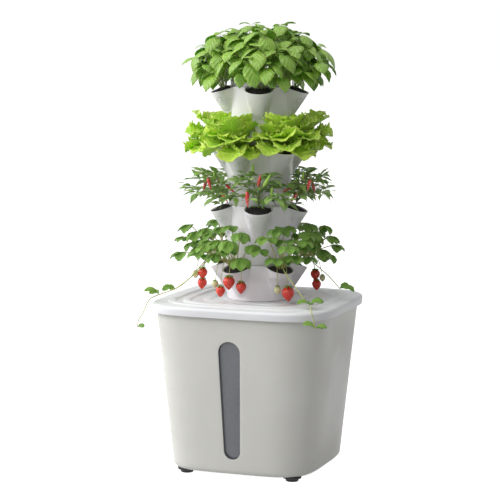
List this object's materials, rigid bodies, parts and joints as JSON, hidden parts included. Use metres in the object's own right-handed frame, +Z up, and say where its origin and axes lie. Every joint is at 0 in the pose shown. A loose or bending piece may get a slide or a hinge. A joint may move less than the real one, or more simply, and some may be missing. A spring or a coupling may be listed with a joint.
{
  "type": "hydroponic tower",
  "caption": "Free-standing hydroponic tower: square water tank with a level window, lid, stacked leaning-pocket tiers with planted cups, and a pump inside.",
  "frame": {"origin": "on the tower's axis at the floor, under the middle of the tank", "axes": "+Z up; -Y towards the side with the level window; +X to the right seen from there"},
  "size_m": [0.4398, 0.4398, 1.0585],
  "materials": {
    "tank_plastic": "fine satin, ivory",
    "lid_plastic": "glossy, cool white",
    "tier_plastic": "satin, warm white",
    "window_plastic": "smoked pane",
    "black_rubber": "matte black",
    "cup_plastic": "black",
    "pipe_plastic": "light grey",
    "pump_plastic": "dark grey",
    "pump_trim": "black",
    "strawberry_plant": "soft leaf, with red fruit",
    "chili_plant": "soft leaf, with red fruit",
    "lettuce_plant": "soft yellow-green leaf",
    "basil_plant": "glossy soft leaf"
  },
  "bodies": {
    "base": {"reservoir_tank": "tank_plastic", "level_window": "window_plastic", "window_gasket": "black_rubber", "cable_grommet": "black_rubber", "foot_1": "black_rubber", "foot_2": "black_rubber", "foot_3": "black_rubber", "foot_4": "black_rubber"},
    "lid": {"lid": "lid_plastic", "riser_tube": "pipe_plastic", "pump_body": "pump_plastic", "pump_inlet_cover": "pump_trim", "pump_outlet": "pump_trim"},
    "tier_1": {"tier_1": "tier_plastic"},
    "tier_2": {"tier_2": "tier_plastic"},
    "tier_3": {"tier_3": "tier_plastic"},
    "tier_4": {"tier_4": "tier_plastic"},
    "cap": {"top_cap": "tier_plastic", "distributor": "pipe_plastic"},
    "cup_1_1": {"cup_1_1": "cup_plastic", "strawberry_1": "strawberry_plant"},
    "cup_1_2": {"cup_1_2": "cup_plastic", "strawberry_2": "strawberry_plant"},
    "cup_1_3": {"cup_1_3": "cup_plastic", "strawberry_3": "strawberry_plant"},
    "cup_1_4": {"cup_1_4": "cup_plastic", "strawberry_4": "strawberry_plant"},
    "cup_1_5": {"cup_1_5": "cup_plastic", "strawberry_5": "strawberry_plant"},
    "cup_2_1": {"cup_2_1": "cup_plastic", "chili_1": "chili_plant"},
    "cup_2_2": {"cup_2_2": "cup_plastic", "chili_2": "chili_plant"},
    "cup_2_3": {"cup_2_3": "cup_plastic", "chili_3": "chili_plant"},
    "cup_2_4": {"cup_2_4": "cup_plastic", "chili_4": "chili_plant"},
    "cup_2_5": {"cup_2_5": "cup_plastic", "chili_5": "chili_plant"},
    "cup_3_1": {"cup_3_1": "cup_plastic", "lettuce_1": "lettuce_plant"},
    "cup_3_2": {"cup_3_2": "cup_plastic", "lettuce_2": "lettuce_plant"},
    "cup_3_3": {"cup_3_3": "cup_plastic", "lettuce_3": "lettuce_plant"},
    "cup_3_4": {"cup_3_4": "cup_plastic", "lettuce_4": "lettuce_plant"},
    "cup_3_5": {"cup_3_5": "cup_plastic", "lettuce_5": "lettuce_plant"},
    "cup_4_1": {"cup_4_1": "cup_plastic", "basil_1": "basil_plant"},
    "cup_4_2": {"cup_4_2": "cup_plastic", "basil_2": "basil_plant"},
    "cup_4_3": {"cup_4_3": "cup_plastic", "basil_3": "basil_plant"},
    "cup_4_4": {"cup_4_4": "cup_plastic", "basil_4": "basil_plant"},
    "cup_4_5": {"cup_4_5": "cup_plastic", "basil_5": "basil_plant"}
  },
  "joints": [
    {"name": "lid_lift", "type": "slide", "parent": "base", "child": "lid", "axis": [0, 0, 1], "range_m": [0, 0.39]},
    {"name": "tier_1_lift", "type": "slide", "parent": "lid", "child": "tier_1", "axis": [0, 0, 1], "range_m": [0, 0.12]},
    {"name": "tier_2_lift", "type": "slide", "parent": "tier_1", "child": "tier_2", "axis": [0, 0, 1], "range_m": [0, 0.12]},
    {"name": "tier_3_lift", "type": "slide", "parent": "tier_2", "child": "tier_3", "axis": [0, 0, 1], "range_m": [0, 0.12]},
    {"name": "tier_4_lift", "type": "slide", "parent": "tier_3", "child": "tier_4", "axis": [0, 0, 1], "range_m": [0, 0.12]},
    {"name": "cap_lift", "type": "slide", "parent": "tier_4", "child": "cap", "axis": [0, 0, 1], "range_m": [0, 0.025]},
    {"name": "cup_1_1_lift", "type": "slide", "parent": "tier_1", "child": "cup_1_1", "axis": [0.3031, 0.2202, 0.9272], "range_m": [0, 0.03]},
    {"name": "cup_1_2_lift", "type": "slide", "parent": "tier_1", "child": "cup_1_2", "axis": [-0.1158, 0.3563, 0.9272], "range_m": [0, 0.03]},
    {"name": "cup_1_3_lift", "type": "slide", "parent": "tier_1", "child": "cup_1_3", "axis": [-0.3746, 0, 0.9272], "range_m": [0, 0.03]},
    {"name": "cup_1_4_lift", "type": "slide", "parent": "tier_1", "child": "cup_1_4", "axis": [-0.1158, -0.3563, 0.9272], "range_m": [0, 0.03]},
    {"name": "cup_1_5_lift", "type": "slide", "parent": "tier_1", "child": "cup_1_5", "axis": [0.3031, -0.2202, 0.9272], "range_m": [0, 0.03]},
    {"name": "cup_2_1_lift", "type": "slide", "parent": "tier_2", "child": "cup_2_1", "axis": [0.3746, 0, 0.9272], "range_m": [0, 0.03]},
    {"name": "cup_2_2_lift", "type": "slide", "parent": "tier_2", "child": "cup_2_2", "axis": [0.1158, 0.3563, 0.9272], "range_m": [0, 0.03]},
    {"name": "cup_2_3_lift", "type": "slide", "parent": "tier_2", "child": "cup_2_3", "axis": [-0.3031, 0.2202, 0.9272], "range_m": [0, 0.03]},
    {"name": "cup_2_4_lift", "type": "slide", "parent": "tier_2", "child": "cup_2_4", "axis": [-0.3031, -0.2202, 0.9272], "range_m": [0, 0.03]},
    {"name": "cup_2_5_lift", "type": "slide", "parent": "tier_2", "child": "cup_2_5", "axis": [0.1158, -0.3563, 0.9272], "range_m": [0, 0.03]},
    {"name": "cup_3_1_lift", "type": "slide", "parent": "tier_3", "child": "cup_3_1", "axis": [0.3031, 0.2202, 0.9272], "range_m": [0, 0.03]},
    {"name": "cup_3_2_lift", "type": "slide", "parent": "tier_3", "child": "cup_3_2", "axis": [-0.1158, 0.3563, 0.9272], "range_m": [0, 0.03]},
    {"name": "cup_3_3_lift", "type": "slide", "parent": "tier_3", "child": "cup_3_3", "axis": [-0.3746, 0, 0.9272], "range_m": [0, 0.03]},
    {"name": "cup_3_4_lift", "type": "slide", "parent": "tier_3", "child": "cup_3_4", "axis": [-0.1158, -0.3563, 0.9272], "range_m": [0, 0.03]},
    {"name": "cup_3_5_lift", "type": "slide", "parent": "tier_3", "child": "cup_3_5", "axis": [0.3031, -0.2202, 0.9272], "range_m": [0, 0.03]},
    {"name": "cup_4_1_lift", "type": "slide", "parent": "tier_4", "child": "cup_4_1", "axis": [0.3746, 0, 0.9272], "range_m": [0, 0.07]},
    {"name": "cup_4_2_lift", "type": "slide", "parent": "tier_4", "child": "cup_4_2", "axis": [0.1158, 0.3563, 0.9272], "range_m": [0, 0.07]},
    {"name": "cup_4_3_lift", "type": "slide", "parent": "tier_4", "child": "cup_4_3", "axis": [-0.3031, 0.2202, 0.9272], "range_m": [0, 0.07]},
    {"name": "cup_4_4_lift", "type": "slide", "parent": "tier_4", "child": "cup_4_4", "axis": [-0.3031, -0.2202, 0.9272], "range_m": [0, 0.07]},
    {"name": "cup_4_5_lift", "type": "slide", "parent": "tier_4", "child": "cup_4_5", "axis": [0.1158, -0.3563, 0.9272], "range_m": [0, 0.07]}
  ]
}
